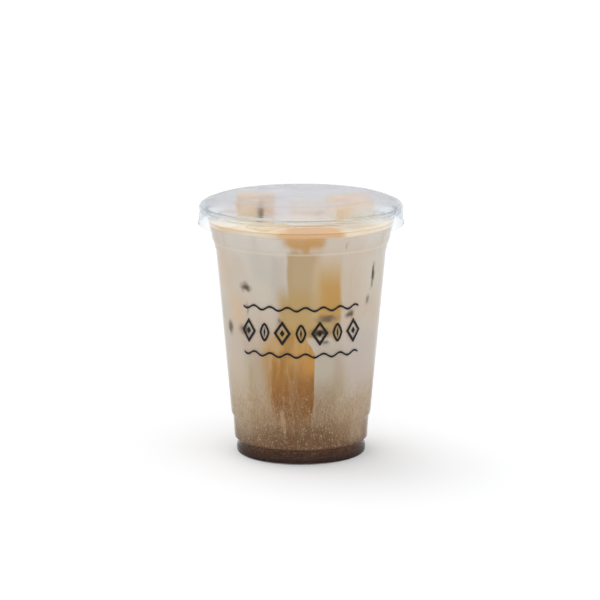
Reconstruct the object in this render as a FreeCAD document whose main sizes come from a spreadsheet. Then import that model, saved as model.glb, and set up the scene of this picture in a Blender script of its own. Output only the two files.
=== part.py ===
"""Iced latte in a clear cold cup with a flat clear lid, standing upright.

Millimetres, +Z up. Z is the axis of the cup, and the origin is the centre of
the ring that the cup stands on.
"""

import FreeCAD, Part
import os
import Sketcher

from FreeCAD import Vector

# Radii are from the axis and heights from the table. The cup's own are those
# of its outer face, and the lid's those of its upper face.
DIMENSIONS = {
    # foot and side of the thermoformed cup
    "cup_wall": 0.6,
    "punt_radius": 24.0,
    "punt_height": 3.0,
    "foot_radius": 26.5,
    "heel_radius": 31.8,
    "heel_corner": 2.4,
    "groove_radius": 31.3,
    "groove_lower_edge": 3.2,
    "groove_bottom": 4.4,
    "groove_top": 6.4,
    "groove_upper_edge": 7.8,
    "band_foot_radius": 32.8,
    "band_radius": 33.5,
    "band_top": 18.3,
    "step_radius": 34.4,
    "step_height": 20.1,
    "shoulder_radius": 41.5,
    "shoulder_height": 100.6,
    "ledge_radius": 42.9,
    "ledge_height": 105.6,
    "collar_radius": 43.6,
    "collar_height": 107.4,
    "neck_radius": 43.85,
    "neck_height": 109.4,
    "mouth_radius": 46.7,
    "mouth_height": 121.0,
    "soft_corner": 0.8,
    "shoulder_blend": 9.0,
    # rolled rim
    "bead_radius": 47.5,
    "bead_section": 1.6,
    # lid, from the button at its middle out to the lip of its skirt
    "lid_wall": 0.45,
    "button_radius": 6.4,
    "button_height": 126.5,
    "button_foot_radius": 7.4,
    "panel_radius": 35.0,
    "panel_height": 126.2,
    "crown_inner_radius": 39.2,
    "crown_radius": 40.2,
    "crown_height": 127.3,
    "brow_radius": 48.6,
    "brow_height": 124.1,
    "lid_radius": 49.6,
    "lid_corner_height": 122.8,
    "waist_height": 118.2,
    "skirt_radius": 49.95,
    "skirt_height": 115.4,
    "lip_radius": 50.3,
    "lip_top": 114.9,
    "lip_height": 114.1,
    "lid_blend": 0.9,
    # crossed straw slit through the button
    "slit_length": 10.0,
    "slit_width": 0.3,
    # drink
    "base_layer_height": 7.6,
    "drink_height": 115.0,
    # ice
    "ice_taper": 4.0,
    "ice_corner": 2.2,
}

# Ice that breaks the surface: each block's sides and depth, the place of its
# middle, its turn about Z, and its lean about its own X before that turn.
ICE_KEYS = ("length", "width", "depth", "x", "y", "z", "turn", "lean")
ICE = {
    "ice_left": (13.5, 14.0, 22.0, -22.5, 22.5, 113.6, -24.0, -3.0),
    "ice_right": (19.0, 14.0, 22.0, 23.8, 17.6, 113.0, 28.0, 4.0),
    "ice_back": (14.0, 12.5, 19.0, 2.5, 28.5, 107.6, -8.0, 7.0),
    "ice_front": (15.5, 14.0, 20.0, -16.0, -20.5, 106.5, 36.0, -6.0),
}

AXIS = None  # stands for the radius or height 0 in an outline
SAME_PLACE = 1e-4  # how near a ring or face has to be to the place looked for
ARC_JOIN = 1  # Thickness makes arcs where the wall's outer corners open

doc = FreeCAD.newDocument("IcedLatte")


def fill_sheet():
    """Write one row for each dimension, its value under an alias of its name."""
    cells = dict(DIMENSIONS)
    for name, block in ICE.items():
        cells.update({f"{name}_{key}": value for key, value in zip(ICE_KEYS, block)})
    sheet = doc.addObject("Spreadsheet::Sheet", "Dimensions")
    for row, (name, value) in enumerate(cells.items(), start=1):
        sheet.set(f"A{row}", name)
        sheet.set(f"B{row}", str(value))
        sheet.setAlias(f"B{row}", name)
    doc.recompute()
    return cells


SIZES = fill_sheet()


def size(name):
    return 0.0 if name is AXIS else SIZES[name]


def cell(name):
    return f"Dimensions.{name}"


def new_body(label):
    body = doc.addObject("PartDesign::Body", label)
    body.Label = label
    return body


def new_sketch(body, name, plane_role):
    """An empty sketch on one of the body's own origin planes."""
    sketch = body.newObject("Sketcher::SketchObject", name)
    plane = next(p for p in body.Origin.OriginFeatures if p.Role == plane_role)
    sketch.AttachmentSupport = [(plane, "")]
    sketch.MapMode = "FlatFace"
    return sketch


def bind_distance(sketch, kind, first, second, expression, start):
    """A dimension between two sketch points, bound to an expression."""
    number = sketch.addConstraint(Sketcher.Constraint(kind, *first, *second, start))
    sketch.setExpression(f"Constraints[{number}]", expression)


def turned(body, name, corners):
    """Revolve a closed outline of (radius, height) names about the Z axis."""
    sketch = new_sketch(body, f"{name}_outline", "XZ_Plane")
    points = [Vector(size(radius), size(height), 0) for radius, height in corners]
    for start, end in zip(points, points[1:] + points[:1]):
        sketch.addGeometry(Part.LineSegment(start, end))
    for number, (radius, height) in enumerate(corners):
        following = (number + 1) % len(corners)
        sketch.addConstraint(Sketcher.Constraint("Coincident", number, 2, following, 1))
        for kind, dimension, axis in (("DistanceX", radius, -2), ("DistanceY", height, -1)):
            if dimension is AXIS:
                sketch.addConstraint(Sketcher.Constraint("PointOnObject", number, 1, axis))
            else:
                bind_distance(sketch, kind, (-1, 1), (number, 1), cell(dimension), size(dimension))
    turning = body.newObject("PartDesign::Revolution", f"{name}_turning")
    turning.Profile = (sketch, [""])
    turning.ReferenceAxis = (sketch, ["V_Axis"])
    turning.Angle = 360
    doc.recompute()
    return turning


def rings(shape, corners):
    """Names of the circular edges that stand at the given (radius, height) names."""
    found = []
    for radius, height in corners:
        for number, edge in enumerate(shape.Edges, start=1):
            curve = edge.Curve
            if not isinstance(curve, Part.Circle):
                continue
            off_radius, off_height = curve.Radius - size(radius), curve.Center.z - size(height)
            if max(abs(off_radius), abs(off_height)) < SAME_PLACE:
                found.append(f"Edge{number}")
                break
        else:
            raise ValueError(f"no ring at {radius}, {height}")
    return found


def rounded(body, base, name, edges, radius_name):
    """Round some edges of the body's last feature to one radius."""
    fillet = body.newObject("PartDesign::Fillet", name)
    fillet.Base = (base, edges)
    fillet.setExpression("Radius", cell(radius_name))
    doc.recompute()
    return fillet


def hollowed(body, base, name, open_height, wall_name):
    """Leave an inward wall behind the form's outer faces, open at one flat face."""
    flat = max(
        (
            (face.Area, number)
            for number, face in enumerate(base.Shape.Faces, start=1)
            if abs(face.BoundBox.ZMin - size(open_height)) < SAME_PLACE
            and face.BoundBox.ZLength < SAME_PLACE
        )
    )
    wall = body.newObject("PartDesign::Thickness", name)
    wall.Base = (base, [f"Face{flat[1]}"])
    wall.setExpression("Value", cell(wall_name))
    wall.Reversed = True
    wall.Join = ARC_JOIN
    doc.recompute()
    return wall


def cup_outline():
    """The cup's outer face as a solid form, foot to mouth."""
    return [
        (AXIS, "punt_height"),
        ("punt_radius", "punt_height"),
        ("foot_radius", AXIS),
        ("heel_radius", AXIS),
        ("heel_radius", "groove_lower_edge"),
        ("groove_radius", "groove_bottom"),
        ("groove_radius", "groove_top"),
        ("band_foot_radius", "groove_upper_edge"),
        ("band_radius", "band_top"),
        ("step_radius", "step_height"),
        ("shoulder_radius", "shoulder_height"),
        ("ledge_radius", "ledge_height"),
        ("collar_radius", "collar_height"),
        ("neck_radius", "neck_height"),
        ("mouth_radius", "mouth_height"),
        (AXIS, "mouth_height"),
    ]


def cup_form(label):
    """Solid inside the cup's outer face, its rings softened as the sheet is when formed."""
    body = new_body(label)
    turning = turned(body, label, cup_outline())
    soft = rings(turning.Shape, cup_outline()[4:10] + [("punt_radius", "punt_height")])
    softened = rounded(body, turning, f"{label}_soft_rings", soft, "soft_corner")
    heel = rings(softened.Shape, [("heel_radius", AXIS)])
    heeled = rounded(body, softened, f"{label}_heel", heel, "heel_corner")
    shoulder = rings(heeled.Shape, [("shoulder_radius", "shoulder_height")])
    rounded(body, heeled, f"{label}_shoulder", shoulder, "shoulder_blend")
    return body


def make_cup():
    """Thermoformed cup: a thin shell of the form, with a rolled rim at its mouth."""
    cup = cup_form("cup")
    hollowed(cup, cup.Tip, "cup_shell", "mouth_height", "cup_wall")
    bead = cup.newObject("PartDesign::AdditiveTorus", "cup_rolled_rim")
    bead.setExpression("Radius1", cell("bead_radius"))
    bead.setExpression("Radius2", cell("bead_section"))
    plane = next(p for p in cup.Origin.OriginFeatures if p.Role == "XY_Plane")
    bead.AttachmentSupport = [(plane, "")]
    bead.MapMode = "FlatFace"
    bead.setExpression("AttachmentOffset.Base.z", cell("mouth_height"))
    doc.recompute()
    return cup


def make_lid():
    """Thermoformed flat lid: sunk panel, sloping crown and a skirt over the rim."""
    lid = new_body("lid")
    outline = [
        (AXIS, "button_height"),
        ("button_radius", "button_height"),
        ("button_foot_radius", "panel_height"),
        ("panel_radius", "panel_height"),
        ("crown_inner_radius", "crown_height"),
        ("crown_radius", "crown_height"),
        ("brow_radius", "brow_height"),
        ("lid_radius", "lid_corner_height"),
        ("lid_radius", "waist_height"),
        ("skirt_radius", "skirt_height"),
        ("lip_radius", "lip_top"),
        ("lip_radius", "lip_height"),
        (AXIS, "lip_height"),
    ]
    turning = turned(lid, "lid", outline)
    blends = rings(turning.Shape, outline[3:5] + outline[6:7])
    blended = rounded(lid, turning, "lid_blends", blends, "lid_blend")
    shell = hollowed(lid, blended, "lid_shell", "lip_height", "lid_wall")
    cut_straw_slit(lid, shell)
    return lid


def cut_straw_slit(lid, shell):
    """Two fine crossed cuts right through the button, where a straw is pushed in."""
    sketch = new_sketch(lid, "straw_slit_outline", "XY_Plane")
    sketch.setExpression("AttachmentOffset.Base.z", cell("button_height"))
    reach = size("slit_length") / 2
    half = size("slit_width") / 2
    corners = [
        (reach, half), (half, half), (half, reach), (-half, reach), (-half, half), (-reach, half),
        (-reach, -half), (-half, -half), (-half, -reach), (half, -reach), (half, -half), (reach, -half),
    ]
    points = [Vector(x, y, 0) for x, y in corners]
    for start, end in zip(points, points[1:] + points[:1]):
        sketch.addGeometry(Part.LineSegment(start, end))
    names = {reach: f"{cell('slit_length')} / 2", half: f"{cell('slit_width')} / 2"}
    for number, corner in enumerate(corners):
        following = (number + 1) % len(corners)
        sketch.addConstraint(Sketcher.Constraint("Coincident", number, 2, following, 1))
        for kind, distance in zip(("DistanceX", "DistanceY"), corner):
            ends = ((-1, 1), (number, 1)) if distance > 0 else ((number, 1), (-1, 1))
            bind_distance(sketch, kind, *ends, names[abs(distance)], abs(distance))
    slit = lid.newObject("PartDesign::Pocket", "straw_slit")
    slit.Profile = (sketch, [""])
    slit.setExpression("Length", f"{cell('lid_wall')} * 2")
    doc.recompute()
    if slit.Shape.Volume >= shell.Shape.Volume:
        raise ValueError("the straw slit cuts nothing")


def make_ice(name):
    """Moulded ice block: tapered to leave its tray, with its edges melted round."""
    block = new_body(name)
    sketch = new_sketch(block, f"{name}_outline", "XY_Plane")
    sketch.setExpression("AttachmentOffset.Base.z", f"-{cell(name + '_depth')} / 2")
    half_length = size(f"{name}_length") / 2
    half_width = size(f"{name}_width") / 2
    signs = [(1, 1), (-1, 1), (-1, -1), (1, -1)]
    points = [Vector(across * half_length, along * half_width, 0) for across, along in signs]
    for start, end in zip(points, points[1:] + points[:1]):
        sketch.addGeometry(Part.LineSegment(start, end))
    halves = [("DistanceX", "length", half_length), ("DistanceY", "width", half_width)]
    for number, corner_signs in enumerate(signs):
        following = (number + 1) % len(signs)
        sketch.addConstraint(Sketcher.Constraint("Coincident", number, 2, following, 1))
        for (kind, side, half), sign in zip(halves, corner_signs):
            ends = ((-1, 1), (number, 1)) if sign > 0 else ((number, 1), (-1, 1))
            bind_distance(sketch, kind, *ends, f"{cell(name + '_' + side)} / 2", half)
    pad = block.newObject("PartDesign::Pad", f"{name}_pad")
    pad.Profile = (sketch, [""])
    pad.setExpression("Length", cell(f"{name}_depth"))
    pad.setExpression("TaperAngle", cell("ice_taper"))
    doc.recompute()
    every_edge = [f"Edge{number + 1}" for number in range(len(pad.Shape.Edges))]
    rounded(block, pad, f"{name}_melted_edges", every_edge, "ice_corner")
    place = "; ".join(cell(f"{name}_{key}") for key in ("x", "y", "z"))
    turn, lean = cell(f"{name}_turn"), cell(f"{name}_lean")
    block.setExpression("Placement", f"placement(vector({place}); rotation({turn}; 0; {lean}))")
    return block


def make_drink_layer(name, low, high, form, things_in_it):
    """What fills the cup between two heights, cut round what stands in it."""
    slab = doc.addObject("Part::Cylinder", f"{name}_slab")
    slab.setExpression("Radius", cell("mouth_radius"))
    if low is AXIS:
        slab.setExpression("Height", cell(high))
    else:
        slab.setExpression("Height", f"{cell(high)} - {cell(low)}")
        slab.setExpression("Placement.Base.z", cell(low))
    filled = doc.addObject("Part::Common", f"{name}_to_its_height")
    filled.Base, filled.Tool = form, slab
    layer = filled
    for thing in things_in_it:
        remaining = doc.addObject("Part::Cut", f"{name}_round_{thing.Label}")
        remaining.Base, remaining.Tool = layer, thing
        layer = remaining
    layer.Label = name
    return layer


def check_document():
    """Stop if any object failed, which a recompute alone does not report."""
    failed = [thing.Name for thing in doc.Objects if {"Invalid", "Error"} & set(thing.State)]
    if failed:
        raise RuntimeError(f"failed objects: {failed}")


def write_parts(parts):
    """Check each sub-part's solid and write it to a file named by its label."""
    os.makedirs("parts", exist_ok=True)
    for part in parts:
        shape = part.Shape
        if shape.isNull() or not shape.isValid() or len(shape.Solids) != 1:
            raise RuntimeError(f"{part.Label} is not one valid solid")
        shape.exportStep(f"parts/{part.Label}.step")
        print(f"{part.Label}: {shape.Volume / 1000:.1f} cm3")


form = cup_form("drink_form")
cup = make_cup()
lid = make_lid()
ice = [make_ice(name) for name in ICE]
coffee_base = make_drink_layer("coffee_base", AXIS, "base_layer_height", form, [cup])
latte = make_drink_layer("latte", "base_layer_height", "drink_height", form, [cup, *ice])
doc.recompute()
check_document()
write_parts([cup, lid, coffee_base, latte, *ice])
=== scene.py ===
import math
import random

import bmesh
import bpy
from mathutils import Euler, Matrix, Vector, noise


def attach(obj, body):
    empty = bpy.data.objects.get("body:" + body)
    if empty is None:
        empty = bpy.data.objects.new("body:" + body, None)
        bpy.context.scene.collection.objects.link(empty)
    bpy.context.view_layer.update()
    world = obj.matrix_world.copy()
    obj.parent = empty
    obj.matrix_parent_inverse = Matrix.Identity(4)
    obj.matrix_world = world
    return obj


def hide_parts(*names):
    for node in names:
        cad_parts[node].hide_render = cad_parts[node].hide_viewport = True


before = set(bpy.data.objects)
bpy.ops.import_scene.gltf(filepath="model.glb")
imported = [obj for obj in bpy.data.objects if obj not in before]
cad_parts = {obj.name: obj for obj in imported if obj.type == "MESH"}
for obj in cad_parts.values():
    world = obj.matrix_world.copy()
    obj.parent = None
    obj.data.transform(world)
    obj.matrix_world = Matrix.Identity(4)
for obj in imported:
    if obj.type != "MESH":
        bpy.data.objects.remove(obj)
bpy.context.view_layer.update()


# --- Camera -----------------------------------------------------------------
# A long lens a little above the lid, turned down far enough for the lid to
# show as a narrow oval and the whole cup to stand in the middle of the frame.
lens = bpy.data.cameras.new("camera")
lens.lens = 157.1
lens.sensor_width = 36.0
camera = bpy.data.objects.new("camera", lens)
camera.location = (0.0, -1.26, 0.3263)
aim = Vector((-0.0005, 0.0, 0.0754))
camera.rotation_euler = (aim - camera.location).to_track_quat("-Z", "Y").to_euler()
bpy.context.scene.collection.objects.link(camera)
bpy.context.scene.camera = camera
bpy.context.scene.view_settings.view_transform = "Standard"


# --- Studio -----------------------------------------------------------------
# A white table that keeps the shadow and runs out of sight in a white surround.
# A wide light hangs overhead, behind and to the left, with softer ones in front
# and at the right.
class Signal:
    """A socket in a node tree: arithmetic on it adds Math nodes."""

    def __init__(self, tree, socket=None):
        self.tree = tree
        self.socket = socket

    def node(self, kind, inputs=(), output=0, stops=None, **settings):
        """Add a node, with its settings first and then its sockets, and return one output."""
        made = self.tree.nodes.new(kind)
        for name, setting in settings.items():
            setattr(made, name, setting)
        if stops:
            ramp = made.color_ramp.elements
            while len(ramp) < len(stops):
                ramp.new(0.5)
            for element, (position, shade) in zip(ramp, stops):
                element.position = position
                element.color = shade
        for name, value in dict(inputs).items():
            if isinstance(value, Signal):
                self.tree.links.new(value.socket, made.inputs[name])
            else:
                made.inputs[name].default_value = value
        return Signal(self.tree, made.outputs[output])

    def math(self, operation, *values):
        """Add a Math node over the values given."""
        return self.node("ShaderNodeMath", enumerate(values), operation=operation)

    def feed(self, socket):
        """Join this signal to a socket of a node that is already there."""
        self.tree.links.new(self.socket, socket)

    def __add__(self, other):
        return self.math("ADD", self, other)

    def __sub__(self, other):
        return self.math("SUBTRACT", self, other)

    def __mul__(self, other):
        return self.math("MULTIPLY", self, other)

    def __truediv__(self, other):
        return self.math("DIVIDE", self, other)

    def __rsub__(self, other):
        return self.math("SUBTRACT", other, self)

    __radd__ = __add__
    __rmul__ = __mul__

    def either(self, other):
        """The larger of the two, which joins two masks."""
        return self.math("MAXIMUM", self, other)

    def size(self):
        return self.math("ABSOLUTE", self)

    def sway(self, reach):
        """This noise, 0 to 1, as a shift to either side that adds up to the reach."""
        return (self - 0.5) * reach

    def rise(self, low, high):
        """0 below low, 1 above high, with a smooth ramp between them."""
        limits = {"Value": self, "From Min": low, "From Max": high}
        return self.node("ShaderNodeMapRange", limits, interpolation_type="SMOOTHSTEP")

    def within(self, low, high, soft_low, soft_high):
        """1 between low and high, with an edge of its own softness on each side."""
        entering = self.rise(low - soft_low, low + soft_low)
        leaving = self.rise(high - soft_high, high + soft_high)
        return entering * (1 - leaving)

    def over(self, top, mask):
        """This colour, with another laid over it where the mask is 1."""
        layers = {0: mask, 6: self, 7: top}
        return self.node("ShaderNodeMix", layers, output=2, data_type="RGBA")


def new_material(name):
    """A node material, with its Principled shader and a start for its signals."""
    made = bpy.data.materials.new(name)
    made.use_nodes = True
    return made, made.node_tree.nodes["Principled BSDF"], Signal(made.node_tree)


def place(name, mesh, *materials):
    """Put a finished mesh in the scene at the origin."""
    piece = bpy.data.objects.new(name, mesh)
    for material in materials:
        mesh.materials.append(material)
    bpy.context.scene.collection.objects.link(piece)
    return piece


def seen_directly(start):
    """1 for what the eye sees, straight, in a reflection or through clear plastic."""
    rays = [start.node("ShaderNodeLightPath", output=output)
            for output in ("Is Camera Ray", "Is Glossy Ray", "Is Transmission Ray")]
    return rays[0].either(rays[1]).either(rays[2])


table_half = 6.0
table_glow = 0.05
table_mesh = bpy.data.meshes.new("table")
table_bm = bmesh.new()
bmesh.ops.create_grid(table_bm, x_segments=1, y_segments=1, size=table_half)
table_bm.to_mesh(table_mesh)
table_bm.free()
table_white, table_shader, start = new_material("table_white")
table_shader.inputs["Base Color"].default_value = (0.876, 0.883, 0.894, 1.0)
table_shader.inputs["Roughness"].default_value = 0.9
table_shader.inputs["Specular IOR Level"].default_value = 0.0
table_shader.inputs["Emission Strength"].default_value = 1.0
lift = seen_directly(start) * table_glow
start.node("ShaderNodeCombineColor", {"Red": lift, "Green": lift, "Blue": lift}).feed(
    table_shader.inputs["Emission Color"])
table = place("table", table_mesh, table_white)

surround = bpy.data.worlds.new("surround")
surround.use_nodes = True
bpy.context.scene.world = surround
world_start = Signal(surround.node_tree)
room = surround.node_tree.nodes["Background"]
room.inputs["Color"].default_value = (1.0, 1.0, 1.0, 1.0)
room_light = 0.88
(seen_directly(world_start) * (1 - room_light) + room_light).feed(room.inputs["Strength"])


def wide_light(name, energy, spread, towards_cup):
    """A soft light from far away; spread is how wide it looks from the cup, in degrees."""
    lamp = bpy.data.lights.new(name, "SUN")
    lamp.energy = energy
    lamp.angle = math.radians(spread)
    holder = bpy.data.objects.new(name, lamp)
    direction = Vector(towards_cup)
    holder.location = -direction
    holder.rotation_euler = direction.to_track_quat("-Z", "Y").to_euler()
    bpy.context.scene.collection.objects.link(holder)


wide_light("ceiling_light", 0.75, 50, (0.42, -0.45, -1.0))
wide_light("front_light", 0.42, 110, (-0.14, 0.93, -0.38))
wide_light("side_light", 0.22, 90, (-1.0, 0.1, -0.3))


# --- Cup --------------------------------------------------------------------
# One sheet of clear plastic, drawn over a mould: a foot ring round a raised
# floor, a heel groove, a stacking step, a tapered side and a flared collar.
# Its mouth is rolled outwards into a bead that the lid snaps over.
MM = 0.001  # the sizes of every piece are written in millimetres
cup_wall = 0.6
cup_corners = [  # radius, height and rounding of each corner of the outer face
    (0.0, 3.0, 0.0),
    (24.0, 3.0, 1.2),
    (26.5, 0.0, 0.8),
    (31.8, 0.0, 2.4),
    (31.8, 3.2, 0.8),
    (31.3, 4.4, 0.8),
    (31.3, 6.4, 0.8),
    (32.8, 7.8, 0.8),
    (33.5, 18.3, 0.8),
    (34.4, 20.1, 0.8),
    (41.5, 100.6, 9.0),
    (42.9, 105.6, 0.5),
    (43.6, 107.4, 0.8),
    (43.85, 109.4, 2.0),
    (46.35, 119.8, 3.0),
]
bead_radius = 47.5
bead_height = 121.0
bead_section = 1.6
bead_turn = 290
bead_steps = 26
arc_step = 11  # degrees that one short chord of a rounded corner turns
arc_share = 0.48  # the most of a side that one rounding may use
spin_steps = 160


def drawn(corners):
    """An open line through corners (radius, height, rounding), its corners made arcs."""
    points = [Vector(corner[:2]) for corner in corners]
    line = [points[0]]
    for before, here, after, corner in zip(points, points[1:], points[2:], corners[1:]):
        to_before = (before - here).normalized()
        to_after = (after - here).normalized()
        turn = math.pi - to_before.angle(to_after)
        reach = min(corner[2] * math.tan(turn / 2), arc_share * (before - here).length,
                    arc_share * (after - here).length)
        steps = max(2, math.ceil(math.degrees(turn) / arc_step))
        enter, leave = here + to_before * reach, here + to_after * reach
        for step in range(steps + 1):
            part = step / steps
            line.append(enter.lerp(here, part).lerp(here.lerp(leave, part), part))
    line.append(points[-1])
    return line


def aside(line, distance):
    """The same line moved sideways, to the left of its own direction if above 0."""
    moved = []
    for number, point in enumerate(line):
        before = line[max(number - 1, 0)]
        after = line[min(number + 1, len(line) - 1)]
        first = (point - before).normalized() if number else (after - point).normalized()
        second = (after - point).normalized() if number < len(line) - 1 else first
        along = (first + second).normalized()
        stretch = max(along.dot(first), 0.5)
        moved.append(point + Vector((-along.y, along.x)) * (distance / stretch))
    for end in (0, -1):
        if abs(line[end].x) < 1e-6:
            moved[end].x = 0.0
    return moved


def spun(line):
    """Turn a line of (radius, height) points in millimetres about the upright axis."""
    bm = bmesh.new()
    corners = [bm.verts.new((point.x * MM, 0.0, point.y * MM)) for point in line]
    edges = [bm.edges.new(pair) for pair in zip(corners, corners[1:])]
    bmesh.ops.spin(bm, geom=corners + edges, axis=(0, 0, 1), cent=(0, 0, 0), angle=2 * math.pi,
                   steps=spin_steps, use_merge=True)
    bmesh.ops.remove_doubles(bm, verts=bm.verts, dist=1e-7)
    bmesh.ops.recalc_face_normals(bm, faces=bm.faces)
    return bm


def finished(name, bm, smooth=True):
    """Turn a bmesh into a named mesh, shaded smooth or flat."""
    mesh = bpy.data.meshes.new(name)
    for face in bm.faces:
        face.smooth = smooth
    bm.to_mesh(mesh)
    bm.free()
    return mesh


def rolled_rim():
    """The curl at the mouth: the sheet's outer face goes inside the roll."""
    inner = bead_section - cup_wall
    for step in range(bead_steps + 1):
        angle = math.radians(180 - bead_turn * step / bead_steps)
        yield Vector((bead_radius + inner * math.cos(angle), bead_height + inner * math.sin(angle)))


def lets_light_in(material, shader, start):
    """Let lamps and bounced light pass the thin sheet straight, as they nearly do."""
    tree = material.node_tree
    open_air = start.node("ShaderNodeBsdfTransparent", {"Color": (0.97, 0.975, 0.975, 1.0)})
    shadow = start.node("ShaderNodeLightPath", output="Is Shadow Ray")
    bounced = start.node("ShaderNodeLightPath", output="Is Diffuse Ray")
    sheet = tree.nodes.new("ShaderNodeMixShader")
    shadow.either(bounced).feed(sheet.inputs["Fac"])
    tree.links.new(shader.outputs[0], sheet.inputs[1])
    tree.links.new(open_air.socket, sheet.inputs[2])
    tree.links.new(sheet.outputs[0], tree.nodes["Material Output"].inputs["Surface"])


def noise_of(vector, scale, detail=3.0):
    return vector.node("ShaderNodeTexNoise", {"Vector": vector, "Scale": scale, "Detail": detail})


cup_outer = drawn(cup_corners)
cup_sheet = cup_outer + list(rolled_rim())
cup_inner = aside(cup_sheet, cup_wall)
cup_mesh = finished("clear_cup", spun(cup_sheet + cup_inner[::-1]))
cup_plastic, cup_shader, start = new_material("cup_plastic")
cup_shader.inputs["Transmission Weight"].default_value = 1.0
cup_shader.inputs["IOR"].default_value = 1.14
where = start.node("ShaderNodeTexCoord", output="Object")
ripple = noise_of(where, 60.0, 2.0)
haze = noise_of(where, 25.0)
(haze * 0.05 + 0.01).feed(cup_shader.inputs["Roughness"])
sheet_tint = start.node("ShaderNodeValToRGB", {"Fac": haze}, stops=[
    (0.3, (0.95, 0.96, 0.96, 1)), (0.7, (0.98, 0.985, 0.985, 1))])
sideways = start.node("ShaderNodeLayerWeight", {"Blend": 0.5}, output="Facing")
edge_tint = (0.80, 0.83, 0.85, 1)
sheet_tint.over(edge_tint, sideways.rise(0.55, 1.0)).feed(cup_shader.inputs["Base Color"])
start.node("ShaderNodeBump", {"Height": ripple, "Strength": 0.05, "Distance": 0.0005}).feed(
    cup_shader.inputs["Normal"])
lets_light_in(cup_plastic, cup_shader, start)
clear_cup = place("clear_cup", cup_mesh, cup_plastic)
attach(clear_cup, "root")
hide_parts("cup")


# --- Print ------------------------------------------------------------------
# One pass of opaque black ink on the front of the cup: a row of lozenges and
# leaves between two waving lines. Each motif is a film laid round the taper.
ink_thickness = 0.05
row_half = 30.5
line_heights = (78.5, 55.5)
line_swing, line_stroke, line_waves = 0.9, 1.0, 7
motif_row_height = 66.5
motif_count = 7
pitches_in_half = 3.35
lozenge, lozenge_stroke, lozenge_heart = (4.3, 6.2), 1.2, (1.2, 1.8)  # half width and half height
leaf, leaf_stroke, leaf_pinch, leaf_vein = (2.7, 4.7), 1.05, 0.35, (0.5, 2.6)
longest_edge = 1.2  # short enough to follow the round of the cup
step_corner, shoulder_corner = Vector(cup_corners[9][:2]), Vector(cup_corners[10][:2])


def cup_radius(height):
    """Radius in millimetres of the outer face of the tapered side."""
    share = (height - step_corner.y) / (shoulder_corner.y - step_corner.y)
    return step_corner.x + share * (shoulder_corner.x - step_corner.x)


def motif(bm, sides, half_width, half_height, middle, squash=0.0, stroke=None):
    """A closed shape drawn flat, X across and Y up, filled or as an outline."""
    ring = bmesh.ops.create_circle(bm, cap_ends=True, segments=sides, radius=1.0)["verts"]
    for vert in ring:
        pinch = 1 - squash * abs(vert.co.y)
        vert.co = Vector((vert.co.x * half_width * pinch + middle[0],
                          vert.co.y * half_height + middle[1], 0))
    if stroke:
        face = ring[0].link_faces[0]
        bmesh.ops.inset_region(bm, faces=[face], thickness=stroke, use_even_offset=True,
                               use_boundary=True)
        bmesh.ops.delete(bm, geom=[face], context="FACES_ONLY")


def waving_line(bm, height, half_length, swing, stroke, waves):
    """A thin ribbon that rises and falls along its length."""
    made = bmesh.ops.create_grid(bm, x_segments=24 * waves, y_segments=1, size=1.0)["verts"]
    for vert in made:
        across = vert.co.x * half_length
        rise = swing * math.sin(vert.co.x * waves * math.pi)
        vert.co = Vector((across, height + rise + vert.co.y * stroke / 2, 0))


def colour(red, green, blue):
    """A colour written as a painter reads it, 0 to 255, as the light it reflects."""
    def reflected(part):
        part = part / 255
        return part / 12.92 if part <= 0.04045 else ((part + 0.055) / 1.055) ** 2.4
    return (reflected(red), reflected(green), reflected(blue), 1.0)


ink_bm = bmesh.new()
for height in line_heights:
    waving_line(ink_bm, height, row_half, line_swing, line_stroke, line_waves)
for number in range(motif_count):
    middle = (row_half * (number - motif_count // 2) / pitches_in_half, motif_row_height)
    if number % 2 == 0:
        motif(ink_bm, 4, *lozenge, middle, stroke=lozenge_stroke)
        motif(ink_bm, 4, *lozenge_heart, middle)
    else:
        motif(ink_bm, 24, *leaf, middle, squash=leaf_pinch, stroke=leaf_stroke)
        motif(ink_bm, 4, *leaf_vein, middle)
bmesh.ops.triangulate(ink_bm, faces=ink_bm.faces)
for _ in range(2):
    long_edges = [edge for edge in ink_bm.edges if edge.calc_length() > longest_edge]
    bmesh.ops.subdivide_edges(ink_bm, edges=long_edges, cuts=1)
    bmesh.ops.triangulate(ink_bm, faces=ink_bm.faces)
for vert in ink_bm.verts:
    across, height, _ = vert.co
    radius = cup_radius(height) + ink_thickness
    turn = across / radius
    vert.co = Vector((radius * math.sin(turn), -radius * math.cos(turn), height)) * MM
raised = bmesh.ops.extrude_face_region(ink_bm, geom=ink_bm.faces[:])["geom"]
for vert in raised:
    if isinstance(vert, bmesh.types.BMVert):
        outwards = Vector((vert.co.x, vert.co.y, 0.0)).normalized()
        vert.co -= outwards * ink_thickness * MM
bmesh.ops.recalc_face_normals(ink_bm, faces=ink_bm.faces)
ink, ink_shader, start = new_material("printed_ink")
ink_shader.inputs["Roughness"].default_value = 0.5
ink_shader.inputs["Specular IOR Level"].default_value = 0.25
where = start.node("ShaderNodeTexCoord", output="Object")
coverage = noise_of(where, 400.0, 2.0)
start.node("ShaderNodeValToRGB", {"Fac": coverage}, stops=[
    (0.3, colour(12, 9, 8)), (0.7, colour(22, 17, 15))]).feed(ink_shader.inputs["Base Color"])
cup_print = place("cup_print", finished("cup_print", ink_bm, smooth=False), ink)
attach(cup_print, "root")


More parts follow.
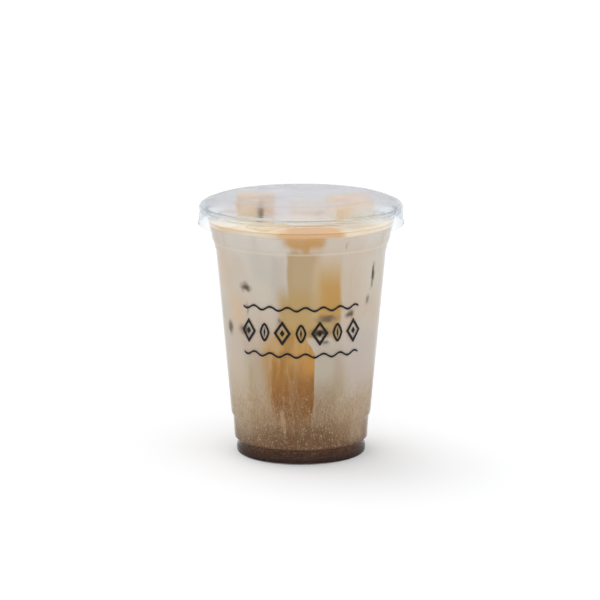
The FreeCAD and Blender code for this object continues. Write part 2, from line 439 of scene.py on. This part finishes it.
# --- Lid --------------------------------------------------------------------
# A second, thinner sheet: a panel sunk a little in a low crown, a sloping brow
# and a skirt that snaps over the bead. Cold milk has fogged the panel from
# below, and a crossed slit for the straw is cut through its flat button.
lid_wall = 0.45
lid_corners = [  # radius, height and rounding of each corner of the outer face
    (0.0, 127.15, 0.0),
    (5.5, 127.15, 2.0),
    (9.5, 127.0, 6.0),
    (40.4, 127.4, 34.0),
    (48.6, 124.1, 0.5),
    (49.6, 122.8, 0.9),
    (49.6, 118.2, 2.0),
    (49.95, 115.4, 0.6),
    (50.3, 114.9, 0.4),
    (50.3, 114.1, 0.0),
]
slit_length = 9.0
slit_width = 0.06
slit_depth = 4 * lid_wall
button_height = lid_corners[0][1]
crease = 50  # degrees: the cut stays sharp, and every rounding stays smooth
fog_ends = (44.0, 49.4)  # the radii between which the fog thins out to clear plastic
grazing_tint = (0.64, 0.69, 0.72, 1)
brow_tint = (0.81, 0.84, 0.865, 1)
fog_tint = (0.8, 0.786, 0.815, 1)

lid_outer = drawn(lid_corners)
lid_inner = aside(lid_outer, -lid_wall)
lid_whole = place("lid_whole", finished("lid_whole", spun(lid_outer + lid_inner[::-1])))
slit_bm = bmesh.new()
for length, width in ((slit_length, slit_width), (slit_width, slit_length)):
    blade = Matrix.Translation((0, 0, button_height * MM)) @ Matrix.Diagonal(
        (length * MM, width * MM, slit_depth * MM, 1))
    bmesh.ops.create_cube(slit_bm, size=1.0, matrix=blade)
slit = place("slit", finished("slit", slit_bm, smooth=False))
cut = lid_whole.modifiers.new("straw_slit", "BOOLEAN")
cut.object = slit
cut.use_self = True
depsgraph = bpy.context.evaluated_depsgraph_get()
lid_mesh = bpy.data.meshes.new_from_object(lid_whole.evaluated_get(depsgraph))
lid_mesh.set_sharp_from_angle(angle=math.radians(crease))
bpy.data.objects.remove(slit)
bpy.data.objects.remove(lid_whole)
lid_plastic, lid_shader, start = new_material("lid_plastic")
lid_shader.inputs["Transmission Weight"].default_value = 0.98
lid_shader.inputs["IOR"].default_value = 1.07
where = start.node("ShaderNodeTexCoord", output="Object")
haze = noise_of(where, 30.0)
ripple = noise_of(where, 70.0, 1.0)
fog_reach = start.node("ShaderNodeVectorMath", {0: where, 1: (1.0, 1.0, 0.0)}, operation="MULTIPLY")
fog_reach = start.node("ShaderNodeVectorMath", {0: fog_reach}, output="Value", operation="LENGTH") / MM
fogged = 1 - fog_reach.rise(*fog_ends)
(fogged * (haze * 0.3 + 0.02) + haze * 0.06 + 0.02).feed(lid_shader.inputs["Roughness"])
sideways = start.node("ShaderNodeLayerWeight", {"Blend": 0.5}, output="Facing")
lid_height = start.node("ShaderNodeSeparateXYZ", {"Vector": where}, output="Z") / MM
lid_tint = start.node("ShaderNodeValToRGB", {"Fac": haze}, stops=[
    (0.3, (0.93, 0.935, 0.945, 1)), (0.7, (0.96, 0.962, 0.965, 1))])
lid_tint = lid_tint.over(grazing_tint, sideways.rise(0.4, 0.98))
lid_tint = lid_tint.over(brow_tint, (lid_height + haze.sway(3.0)).rise(118, 122.5))
lid_tint.over(fog_tint, fogged * 0.9).feed(lid_shader.inputs["Base Color"])
start.node("ShaderNodeBump", {"Height": ripple, "Strength": 0.08, "Distance": 0.0005}).feed(
    lid_shader.inputs["Normal"])
lets_light_in(lid_plastic, lid_shader, start)
clear_lid = place("clear_lid", lid_mesh, lid_plastic)
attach(clear_lid, "root")
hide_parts("lid")


# --- Drink ------------------------------------------------------------------
# Milk poured over ice with coffee run through it. It wets the cup, so its side
# lies just inside the plastic, and it climbs a little where it meets the wall.
base_top = 7.6
drink_top = 115.0
reach_into_wall = 0.2
meniscus = [(0.0, 0.9), (0.25, 0.55), (0.6, 0.3), (1.2, 0.12), (2.2, 0.0)]  # in from the wall, climb
surface_rings = 34
swell, swell_pattern = 0.7, 70  # how high the surface swells, and how close together


def between(line, low, high):
    """The stretch of an outline between two heights, cut off square at both."""
    kept = []
    for first, second in zip(line, line[1:]):
        for limit in (low, high):
            if (first.y - limit) * (second.y - limit) < 0:
                kept.append(first.lerp(second, (limit - first.y) / (second.y - first.y)))
        if low <= second.y <= high:
            kept.append(second)
    return kept


drink_side = aside(cup_outer, cup_wall - reach_into_wall)
side_start = max(number for number, point in enumerate(drink_side) if point.y < 1.0)
latte_side = between(drink_side[side_start:], base_top, drink_top)
rim = latte_side[-1]
surface = [Vector((rim.x - inwards, drink_top + climb)) for inwards, climb in meniscus]
surface += [Vector((surface[-1].x * (1 - step / surface_rings), drink_top))
            for step in range(1, surface_rings + 1)]
latte_line = [Vector((0.0, base_top))] + latte_side + surface
latte_bm = spun(latte_line)
for vert in latte_bm.verts:
    reach = Vector(vert.co[:2]).length / MM
    if vert.co.z > drink_top * MM - 1e-6 and reach < rim.x - 1.0:
        vert.co.z += (noise.noise(vert.co * swell_pattern) - 0.3) * swell * MM
latte_mesh = finished("milky_coffee", latte_bm)

# The milk's colour and the coffee run's, from the bottom up, and how far the run
# spreads to the left and to the right of the front, in degrees, at each height.
milk_by_height = [
    (7.6, (108, 80, 60)), (11, (118, 90, 67)), (15, (136, 109, 83)), (20, (153, 127, 100)),
    (26, (168, 144, 117)), (33, (179, 159, 136)), (42, (186, 170, 151)), (55, (192, 178, 164)),
    (70, (198, 185, 169)), (90, (202, 191, 176)), (104, (206, 196, 184)), (115, (211, 203, 194)),
]
run_by_height = [
    (12, (98, 70, 48)), (19, (134, 102, 74)), (24, (141, 107, 74)), (29, (135, 94, 57)),
    (36, (148, 101, 54)), (42, (160, 112, 60)), (50, (172, 127, 70)), (58, (186, 144, 86)),
    (68, (189, 152, 92)), (84, (188, 160, 110)),
]
run_left_by_height = [(17, 14), (22, 19), (27, 23), (34, 26), (46, 27), (57, 28), (62, 23), (68, 18)]
run_right_by_height = [(17, 6), (22, 8), (27, 9.3), (32, 10), (56, 10.2), (60, 7), (64, 3), (66, 12)]
# Patches, painted in this order: colour, then the bearings from and to with how
# soft each side is, the heights from and to with how soft each end is, strength.
patches = [
    ((184, 172, 162), (-21, -9, 5, 3), (62, 104, 8, 6), 0.5),
    ((209, 180, 148), (-60, -44, 9, 6), (68, 83, 7, 8), 0.8),
    ((206, 184, 164), (-80, -60, 5, 5), (84, 106, 6, 4), 0.5),
    ((179, 153, 115), (-8.2, 12, 1.5, 5), (80, 107, 4, 2), 0.9),
    ((177, 152, 114), (-8.2, -4.8, 1.4, 2), (84, 106, 4, 3), 0.6),
    ((197, 178, 158), (28, 46, 2, 7), (68, 100, 7, 7), 0.75),
    ((180, 149, 96), (-16.5, 29, 4, 1.2), (64, 87, 3, 6), 0.92),
    ((194, 170, 134), (9, 29, 4, 2.4), (73, 103, 3, 7), 0.7),
    ((187, 146, 84), (12, 28.5, 4, 1.8), (73, 97, 3, 9), 0.92),
    ((184, 136, 72), (18, 28, 4, 2.0), (75, 89, 4, 7), 0.3),
    ((192, 168, 132), (-31, 4, 4, 4), (27, 66, 6, 5), 0.75),
    ((172, 156, 130), (11, 36, 1.5, 9), (24, 45, 6, 6), 0.55),
    ((191, 178, 169), (38, 64, 7, 8), (36, 64, 7, 8), 0.7),
    ((179, 161, 121), (-44, -40, 1.2, 1.6), (29, 49, 4, 6), 0.75),
    ((196, 180, 163), (-36.5, -33.5, 1.2, 1.8), (37, 50, 5, 6), 0.5),
    ((203, 180, 152), (-21.5, -18.5, 0.8, 1.4), (27, 32, 2, 1.5), 0.7),
    ((110, 79, 54), (-34, 28, 10, 8), (9, 25, 3, 9), 0.85),
    ((172, 145, 114), (-42, -18, 8, 6), (16, 58, 6, 8), 0.5),
    ((158, 134, 106), (9, 30, 2, 8), (22, 58, 8, 8), 0.65),
    ((148, 122, 92), (12, 25, 2, 5), (24, 60, 5, 6), 0.45),
    ((214, 194, 166), (-70, -46, 5, 6), (10, 56, 6, 8), 0.25),
    ((190, 166, 142), (46, 66, 6, 6), (10, 30, 3, 6), 0.4),
    ((128, 102, 78), (-54, -26, 8, 8), (7, 15, 2, 4), 0.4),
]
# Faces of ice that lean on the cup, and a painted highlight along the top of the front one, laid over the
# run in the same terms.
ice_faces_and_top_highlight = [
    ((188, 177, 161), (3, 27, 1.2, 5), (40, 63.6, 9, 1.0), 0.8),
    # A painted highlight: a thin pale line along the top of the front face of ice.
    ((216, 208, 196), (4, 22, 1.5, 3), (62.6, 64.2, 0.6, 0.4), 0.6),
]
# Dark coffee caught in the corners of ice: bearing, height, half width, half
# height and strength.
marks = [
    (-41.3, 87.6, 3.2, 1.5, 0.8), (58.6, 92.8, 1.7, 3.4, 0.95), (57.6, 87.4, 1.0, 1.6, 0.35),
    (30.3, 108.8, 0.7, 1.3, 0.2), (53.7, 80.7, 1.8, 1.8, 0.45), (37.1, 74.7, 2.6, 1.5, 0.7),
    (19.5, 73.6, 6.5, 1.5, 0.6), (13.9, 66.6, 5.2, 1.5, 0.9), (-15.8, 72.7, 1.5, 1.5, 0.45),
    (-63.0, 65.5, 2.6, 2.6, 0.7), (-45.0, 66.0, 4.4, 2.0, 0.7), (17.8, 62.2, 2.6, 1.2, 0.5),
    (-41.0, 77.0, 1.0, 2.6, 0.3), (118.0, 84.0, 3.5, 1.6, 0.8), (-131.0, 71.0, 4.0, 1.8, 0.8),
    (163.0, 62.0, 1.4, 4.5, 0.9), (-98.0, 92.0, 2.6, 1.5, 0.7),
]
milky, milky_shader, start = new_material("milky_coffee")
milky_shader.inputs["Roughness"].default_value = 0.32
milky_shader.inputs["IOR"].default_value = 1.33
milky_shader.inputs["Specular IOR Level"].default_value = 0.12
where = start.node("ShaderNodeTexCoord", output="Object")
upright = start.node("ShaderNodeMapping", {"Vector": where, "Scale": (1.0, 1.0, 0.22)})
across, away, height = (start.node("ShaderNodeSeparateXYZ", {"Vector": where}, output=letter) / MM
                        for letter in "XYZ")
cloud = noise_of(where, 45.0)
wisps = noise_of(upright, 170.0)
threads = noise_of(upright, 1500.0, 2.0)
grain = noise_of(where, 1100.0, 2.0)
# Degrees round from the front, above 0 at the right, then stirred like the height.
bearing = across.math("ARCTAN2", across, 0 - away) * math.degrees(1.0)
bent = bearing + cloud.sway(5.0) + wisps.sway(6.0)
level = height + wisps.sway(9.0)
ramp_height = 120.0
ramp_bearing = 40.0


def by_height(stops, position):
    """A colour that changes with a height."""
    return position.node("ShaderNodeValToRGB", {"Fac": position / ramp_height}, stops=[
        (high / ramp_height, colour(*shade)) for high, shade in stops])


def edge_by_height(stops):
    """A bearing that changes with the height, kept in a ramp as a grey."""
    grey = height.node("ShaderNodeValToRGB", {"Fac": height / ramp_height}, stops=[
        (high / ramp_height, (edge / ramp_bearing,) * 3 + (1,)) for high, edge in stops])
    return grey * ramp_bearing


def distance(first, second):
    return first.math("SQRT", first * first + second * second)


# The milk, with warm, cold and grey drifts in it, and the patches
paint = by_height(milk_by_height, height + cloud.sway(7.0))
tints = noise_of(where, 30.0, 2.0)
paint = paint.over(colour(196, 174, 152), tints.rise(0.5, 0.66) * height.rise(40, 60) * 0.45)
paint = paint.over(colour(184, 180, 170), (1 - tints).rise(0.52, 0.66) * height.rise(40, 60) * 0.45)
paint = paint.over(colour(178, 164, 152), (wisps - 0.5).rise(0.02, 0.2) * height.rise(38, 58) * 0.3)
for shade, bearings, heights, strength in patches:
    paint = paint.over(colour(*shade), bent.within(*bearings) * level.within(*heights) * strength)

# The coffee run: ragged at the left, cut off clean by ice at the right, streaked inside
streaks = noise_of(upright, 320.0)
run_left = (bent + edge_by_height(run_left_by_height) + streaks.sway(12.0)).rise(-6.0, 6.0)
run_right = (bearing + wisps.sway(2.0) - edge_by_height(run_right_by_height)).rise(-0.7, 0.7)
run = run_left * (1 - run_right) * level.within(15.5, 68, 6, 4)
paint = paint.over(by_height(run_by_height, level), run)
paint = paint.over(colour(188, 160, 124), run * streaks.rise(0.48, 0.6) * (2.0 - bent).rise(-8, 22) * 0.6)
paint = paint.over(colour(138, 96, 54), run * (1 - streaks).rise(0.52, 0.64) * 0.35)
dome_middle, dome_bend = 16.0, 0.012
# The paler faces of ice, then the painted highlight along the front one's top.
for shade, bearings, (low, high, soft_low, soft_high), strength in ice_faces_and_top_highlight:
    sides = bent.within(*bearings) * run_right
    domed = height + (bearing - dome_middle) * (bearing - dome_middle) * dome_bend
    foot = level.rise(low - soft_low, low + soft_low)
    crown = 1 - domed.rise(high - soft_high, high + soft_high)
    paint = paint.over(colour(*shade), sides * (foot * crown) * strength)
core = run * (bent + 11.0).rise(-5, 4) * height.within(25, 46, 4, 9) * 0.4
paint = paint.over(colour(128, 86, 48), core)
warm_half = (bent - 2.0).rise(-6, 6) * height.within(46, 60, 4, 3)
paint = paint.over(colour(196, 142, 74), run * warm_half * 0.6)

# The crest where the run starts under the collar, and the light that its ledge catches
crest_floor = 106.8 + (bent - 3.0).size() * 0.22 + wisps.sway(7.0)
crest = bent.rise(-15, -7) * (1 - bent.rise(11, 18)) * (height - crest_floor).rise(-2.4, 2.4)
crest_by_height = [(104, (184, 154, 110)), (109, (188, 149, 98)), (114, (200, 160, 116))]
paint = paint.over(by_height(crest_by_height, level), crest)
paint = paint.over(colour(192, 142, 80), crest * bent.within(3, 11, 3, 2) * height.rise(105, 108) * 0.5)
ledge = height.within(104.9, 105.9, 0.35, 0.35)
paint = paint.over(colour(224, 208, 192), ledge * 0.35)

# Thinner runs round the back, the dark marks, and the grain of the lowest milk
behind = bearing.size().rise(66, 84)
swirl = noise_of(upright, 75.0)
thin_runs = behind * swirl.rise(0.53, 0.62) * level.within(22, 104, 5, 8)
paint = paint.over(by_height(run_by_height, level), thin_runs * 0.85)
smudge, smudge_too = noise_of(where, 240.0), noise_of(where, 310.0)
for middle, high, half_width, half_height, strength in marks:
    sideways = (bearing + smudge.sway(6.0) - middle) / half_width
    upward = (height + smudge_too.sway(4.0) - high) / half_height
    nearness = sideways * sideways + upward * upward
    paint = paint.over(colour(112, 98, 84), (1 - nearness.rise(0.0, 4.5)) * strength * 0.7)
    paint = paint.over(colour(62, 54, 46), (1 - nearness.rise(0.0, 1.5)) * strength)
low_down = 1 - height.rise(26, 48)
paint = paint.over(colour(98, 74, 54), threads.rise(0.5, 0.64) * low_down * 0.16)
paint = paint.over(colour(214, 190, 158), (1 - threads).rise(0.5, 0.66) * low_down * 0.14)
paint = paint.over(colour(214, 190, 160), grain.rise(0.6, 0.72) * low_down * 0.3)
paint = paint.over(colour(88, 66, 50), (1 - grain).rise(0.56, 0.68) * low_down * 0.3)

# The drink's face under the lid: cream, greyer at the back, with a pool of coffee
# at the front, a stained hem beside it and, at the right, a thin run greyed as painted shade
pool_middle, pool_half_width, pool_reach = (5.5, -48.0), 17.0, 32.0
reach = distance(across, away)
flat = (height + cloud.sway(1.5)).rise(113.3, 114.2)
swirled = noise_of(where, 60.0)
face = start.node("ShaderNodeValToRGB", {"Fac": swirled}, stops=[
    (0.32, colour(238, 206, 164)), (0.46, colour(244, 224, 196)), (0.6, colour(249, 239, 220))])
rear = (away + cloud.sway(24.0)).rise(-12, 14)
face = face.over(colour(228, 222, 224), rear * 0.85)
beside = (across - pool_middle[0]) / pool_half_width
inward = (away - pool_middle[1]) / pool_reach
spread = distance(beside, inward) - swirled.sway(0.9) + cloud.sway(0.5)
face = face.over(colour(222, 172, 118), (1 - spread.rise(0.85, 1.2)) * 0.95)
hem = bent.within(-66, -15, 6, 4) * (reach + cloud.sway(5.0)).rise(37.5, 40.5)
face = face.over(colour(216, 182, 136), hem * 0.45)
# Painted shade: a greyish patch at the right, over a thin run of coffee.
rear_run_and_shade = bent.within(40, 75, 10, 10) * (reach + cloud.sway(12.0)).within(16, 38, 4, 4)
face = face.over(colour(212, 192, 168), rear_run_and_shade * 0.8)
paint.over(face, flat).feed(milky_shader.inputs["Base Color"])
milky_coffee = place("milky_coffee", latte_mesh, milky)
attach(milky_coffee, "root")
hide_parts("latte")


# --- Settled coffee ---------------------------------------------------------
# The strongest coffee, sunk under the milk: a dark layer round the raised floor.
base_side = drink_side[:side_start] + between(drink_side[side_start:], 0.0, base_top)
base_mesh = finished("settled_coffee", spun(base_side + [Vector((0.0, base_top))]))
dark, dark_shader, start = new_material("settled_coffee")
dark_shader.inputs["Roughness"].default_value = 0.25
dark_shader.inputs["IOR"].default_value = 1.33
dark_shader.inputs["Specular IOR Level"].default_value = 0.1
where = start.node("ShaderNodeTexCoord", output="Object")
height = start.node("ShaderNodeSeparateXYZ", {"Vector": where}, output="Z") / MM
cloud = noise_of(where, 70.0)
dregs = noise_of(where, 700.0, 2.0)
lees = start.node("ShaderNodeValToRGB", {"Fac": (height + cloud.sway(4.0)) / 10.0}, stops=[
    (0.1, colour(52, 37, 30)), (0.4, colour(68, 48, 38)), (0.78, colour(92, 64, 47))])
lees = lees.over(colour(116, 88, 66), dregs.rise(0.54, 0.64) * height.rise(1, 7) * 0.5)
lees.over(colour(44, 30, 24), (1 - dregs).rise(0.54, 0.66) * 0.4).feed(dark_shader.inputs["Base Color"])
settled_coffee = place("settled_coffee", base_mesh, dark)
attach(settled_coffee, "root")
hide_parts("coffee_base")


# --- Ice under the surface --------------------------------------------------
# Blocks that float in the milk and lean on the cup. Where one touches, its face
# takes the curve of the wall and shows through the plastic as a paler patch.
film = 0.05  # how far a block's face stands out of the drink's side, into the plastic
pressed = 1.8  # how far a block would reach past the wall if the wall didn't shape it
melted_edge = 3.2
melt_pattern, melt_depth = 0.22, 0.9
longest_side = 3.0


def wall_radius(height):
    """Radius in millimetres of the drink's side at a height."""
    for first, second in zip(drink_side[side_start:], drink_side[side_start + 1:]):
        if first.y <= height <= second.y:
            climb = max(second.y - first.y, 1e-6)
            return first.x + (second.x - first.x) * (height - first.y) / climb
    return drink_side[-1].x


def leaning_block(name, bearing, height, size, tilt, turn):
    """A melted block pushed against the wall at a bearing in degrees."""
    bm = bmesh.new()
    bmesh.ops.create_cube(bm, size=1.0, matrix=Matrix.Diagonal((*size, 1)))
    bmesh.ops.bevel(bm, geom=bm.edges[:], offset=melted_edge, offset_type="OFFSET", affect="EDGES",
                    segments=5, profile=0.5, material=-1)
    long_edges = [edge for edge in bm.edges if edge.calc_length() > longest_side]
    bmesh.ops.subdivide_edges(bm, edges=long_edges, cuts=7, use_grid_fill=True)
    lean = Euler((0.0, math.radians(tilt), math.radians(turn))).to_matrix()
    place_round = Matrix.Rotation(math.radians(bearing), 3, "Z")
    for vert in bm.verts:
        vert.co += vert.co.normalized() * noise.noise(vert.co * melt_pattern) * melt_depth
        vert.co = lean @ vert.co
        vert.co.y -= wall_radius(height) - size[1] / 2 + pressed
        vert.co = place_round @ vert.co
        vert.co.z += height
        reach, limit = Vector(vert.co[:2]).length, wall_radius(vert.co.z) + film
        if reach > limit:
            vert.co = Vector((vert.co.x * limit / reach, vert.co.y * limit / reach, vert.co.z))
        vert.co *= MM
    bmesh.ops.triangulate(bm, faces=bm.faces)
    return finished(name, bm)


# Each block's bearing, height of its middle, size, tilt and turn.
for name, bearing, height, size, tilt, turn in (
        ("ice_under_front", 14.5, 52.0, (17.0, 15.0, 25.0), 6.0, 4.0),
        ("ice_under_left", -50.0, 41.0, (15.0, 14.0, 22.0), -9.0, -6.0),
        ("ice_under_right", 47.0, 88.0, (16.0, 14.0, 21.0), -5.0, 8.0),
        ("ice_under_back", 152.0, 76.0, (17.0, 15.0, 22.0), 8.0, -5.0),
        ("ice_under_side", -118.0, 62.0, (16.0, 15.0, 23.0), -7.0, 5.0)):
    block = place(name, leaning_block(name, bearing, height, size, tilt, turn), milky)
    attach(block, "root")


# --- Bubbles ----------------------------------------------------------------
# Fine froth caught low down between the milk and the cup, thickest near the
# settled coffee: tiny pale beads on the drink's side.
bead_count = 620
bead_sizes = (0.14, 0.31)
bead_sunk = 0.3  # share of its radius that a bead lies inside the drink
froth_low, froth_reach, froth_crowding = 8.4, 36.0, 1.6
rng = random.Random(11)
bead_bm = bmesh.new()
bmesh.ops.create_icosphere(bead_bm, subdivisions=2, radius=1.0)
bead = finished("bead", bead_bm)
froth_bm = bmesh.new()
for number in range(bead_count):
    height = froth_low + froth_reach * rng.random() ** froth_crowding
    around = rng.uniform(-math.pi, math.pi)
    size = rng.uniform(*bead_sizes)
    radius = wall_radius(height) - bead_sunk * size
    middle = Vector((radius * math.sin(around), -radius * math.cos(around), height)) * MM
    one = bead.copy()
    one.transform(Matrix.Translation(middle) @ Matrix.Scale(size * MM, 4))
    froth_bm.from_mesh(one)
    bpy.data.meshes.remove(one)
bpy.data.meshes.remove(bead)
bubble_look, bubble_shader, start = new_material("froth")
bubble_shader.inputs["Roughness"].default_value = 0.25
where = start.node("ShaderNodeTexCoord", output="Object")
start.node("ShaderNodeValToRGB", {"Fac": noise_of(where, 300.0)}, stops=[
    (0.35, colour(176, 148, 116)), (0.6, colour(212, 188, 156))]).feed(bubble_shader.inputs["Base Color"])
froth = place("froth_bubbles", finished("froth_bubbles", froth_bm), bubble_look)
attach(froth, "root")


# --- Ice at the surface -----------------------------------------------------
# Blocks from a tray that float free and break the surface, half melted: rounded,
# uneven and wet with milk. The one at the left has coffee dried on it.
even_mesh = 0.7
hollows, pits = (160, 0.6), (420, 0.15)  # how close together and how deep


def melted_block(name, smoothing):
    """A block in its place, remeshed evenly and worn by melting."""
    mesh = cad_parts[name].data.copy()
    bm = bmesh.new()
    bm.from_mesh(mesh)
    bmesh.ops.remove_doubles(bm, verts=bm.verts, dist=1e-6)
    bm.to_mesh(mesh)
    bm.free()
    rough = bpy.data.objects.new(f"{name}_rough", mesh)
    bpy.context.scene.collection.objects.link(rough)
    even = rough.modifiers.new("even", "REMESH")
    even.mode = "VOXEL"
    even.voxel_size = even_mesh * MM
    made = bpy.data.meshes.new_from_object(rough.evaluated_get(bpy.context.evaluated_depsgraph_get()))
    bpy.data.objects.remove(rough)
    bm = bmesh.new()
    bm.from_mesh(made)
    for _ in range(smoothing):
        bmesh.ops.smooth_vert(bm, verts=bm.verts, factor=0.5, use_axis_x=True, use_axis_y=True,
                              use_axis_z=True)
    bm.normal_update()
    for vert in bm.verts:
        wear = sum(noise.noise(vert.co * close) * deep for close, deep in (hollows, pits))
        vert.co += vert.normal * wear * MM
    bm.to_mesh(made)
    bm.free()
    made.shade_smooth()
    made.materials.clear()
    return made


def wet_ice(name, pale, warm, stain_strength, blush_strength):
    """Ice filmed with milk: coffee dried down the corner nearest the front, a blush on top."""
    look, shader, start = new_material(f"wet_{name}")
    shader.inputs["Roughness"].default_value = 0.2
    shader.inputs["IOR"].default_value = 1.31
    shader.inputs["Specular IOR Level"].default_value = 0.25
    where = start.node("ShaderNodeTexCoord", output="Object")
    across, away, height = (start.node("ShaderNodeSeparateXYZ", {"Vector": where}, output=letter) / MM
                            for letter in "XYZ")
    cloud = noise_of(where, 120.0)
    sallow = noise_of(where, 60.0, 2.0)
    paint = start.node("ShaderNodeValToRGB", {"Fac": cloud}, stops=[
        (0.38, colour(*warm)), (0.56, colour(*pale))])
    paint = paint.over(colour(214, 206, 160), sallow.rise(0.5, 0.62) * 0.6)
    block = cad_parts[name].data.vertices
    front = min(block, key=lambda vert: vert.co.y).co / MM
    top = max(vert.co.z for vert in block) / MM
    back = max(vert.co.y for vert in block) / MM
    blush = height.rise(top - 5.5, top - 0.5) * cloud.rise(0.3, 0.6)
    paint = paint.over(colour(250, 202, 150), blush * blush_strength)
    from_corner = distance(across - front.x, away - front.y) + cloud.sway(7.0)
    stain = (1 - from_corner.rise(0.2, 3.2)) * (1 - height.rise(top - 6, top - 1))
    paint = paint.over(colour(120, 86, 62), stain * stain_strength)
    far_edge = height.rise(top - 3.0, top - 2.0) * away.rise(back - 4.5, back - 2.5)
    paint = paint.over(colour(150, 122, 104), far_edge * stain_strength * 0.75)
    paint.feed(shader.inputs["Base Color"])
    return look


for name, smoothing, pale, warm, stain_strength, blush_strength in (
        ("ice_left", 4, (250, 232, 204), (240, 202, 162), 0.95, 0.6),
        ("ice_right", 22, (255, 251, 241), (254, 232, 198), 0.1, 0.9),
        ("ice_back", 10, (236, 228, 212), (228, 206, 176), 0.3, 0.3),
        ("ice_front", 10, (250, 238, 214), (244, 222, 188), 0.1, 0.3)):
    look = wet_ice(name, pale, warm, stain_strength, blush_strength)
    block = place(f"{name}_block", melted_block(name, smoothing), look)
    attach(block, "root")
    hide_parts(name)
